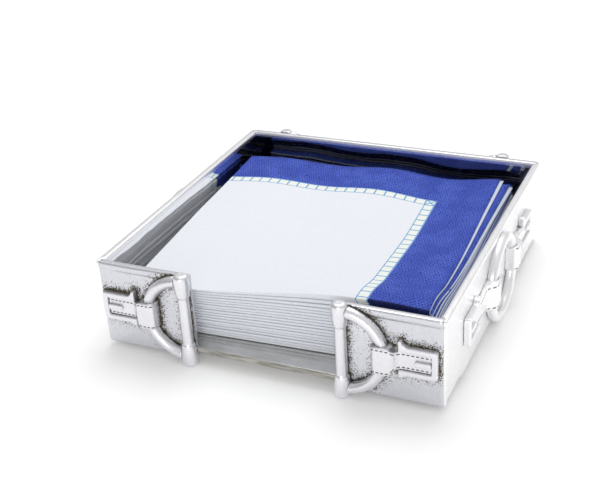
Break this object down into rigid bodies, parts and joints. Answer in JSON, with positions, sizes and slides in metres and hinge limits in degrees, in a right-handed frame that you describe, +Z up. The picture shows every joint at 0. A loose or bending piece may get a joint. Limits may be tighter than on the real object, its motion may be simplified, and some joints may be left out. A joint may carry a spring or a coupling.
{
  "type": "napkin tray",
  "caption": "Open square cast metal napkin tray with a front finger gap and strap-and-ring ornaments in relief, holding a stack of folded paper napkins.",
  "frame": {"origin": "on the floor under the middle of the tray", "axes": "+Z up, +Y to the back wall, the finger gap faces -Y, +X to the right seen from the front"},
  "size_m": [0.2038, 0.2038, 0.054],
  "materials": {
    "cast_metal": "bright sand-cast metal, polished inside and on the rim, dark patina in the pits of the outer faces",
    "ornament_metal": "polished cast relief, dark patina in the grooves",
    "napkin_paper": "soft white tissue with an embossed blue border and a hemstitch print"
  },
  "bodies": {
    "tray": {"back_left_bit_bar": "ornament_metal", "back_left_bit_ring": "ornament_metal", "back_left_buckle_frame": "ornament_metal", "back_left_buckle_tongue": "ornament_metal", "back_left_strap": "ornament_metal", "back_right_bit_bar": "ornament_metal", "back_right_bit_ring": "ornament_metal", "back_right_buckle_frame": "ornament_metal", "back_right_buckle_tongue": "ornament_metal", "back_right_strap": "ornament_metal", "back_wall": "cast_metal", "base_plate": "cast_metal", "front_left_bit_bar": "ornament_metal", "front_left_bit_ring": "ornament_metal", "front_left_buckle_frame": "ornament_metal", "front_left_buckle_tongue": "ornament_metal", "front_left_panel": "cast_metal", "front_left_strap": "ornament_metal", "front_right_bit_bar": "ornament_metal", "front_right_bit_ring": "ornament_metal", "front_right_buckle_frame": "ornament_metal", "front_right_buckle_tongue": "ornament_metal", "front_right_panel": "cast_metal", "front_right_strap": "ornament_metal", "left_back_buckle_frame": "ornament_metal", "left_back_buckle_tongue": "ornament_metal", "left_back_strap": "ornament_metal", "left_front_buckle_frame": "ornament_metal", "left_front_buckle_tongue": "ornament_metal", "left_front_strap": "ornament_metal", "left_ring": "ornament_metal", "left_wall": "cast_metal", "right_back_buckle_frame": "ornament_metal", "right_back_buckle_tongue": "ornament_metal", "right_back_strap": "ornament_metal", "right_front_buckle_frame": "ornament_metal", "right_front_buckle_tongue": "ornament_metal", "right_front_strap": "ornament_metal", "right_ring": "ornament_metal", "right_wall": "cast_metal"},
    "napkin_stack": {"napkin_01": "napkin_paper", "napkin_02": "napkin_paper", "napkin_03": "napkin_paper", "napkin_04": "napkin_paper", "napkin_05": "napkin_paper", "napkin_06": "napkin_paper", "napkin_07": "napkin_paper", "napkin_08": "napkin_paper", "napkin_09": "napkin_paper", "napkin_10": "napkin_paper", "napkin_11": "napkin_paper", "napkin_12": "napkin_paper", "napkin_13": "napkin_paper", "napkin_14": "napkin_paper", "napkin_15": "napkin_paper", "napkin_16": "napkin_paper", "napkin_17": "napkin_paper"},
    "top_napkin": {"top_napkin": "napkin_paper"}
  },
  "joints": [
    {"name": "stack_lift", "type": "slide", "parent": "tray", "child": "napkin_stack", "axis": [0, 0, 1], "range_m": [0, 0.06]},
    {"name": "top_napkin_lift", "type": "slide", "parent": "napkin_stack", "child": "top_napkin", "axis": [0, 0, 1], "range_m": [0, 0.06]}
  ]
}
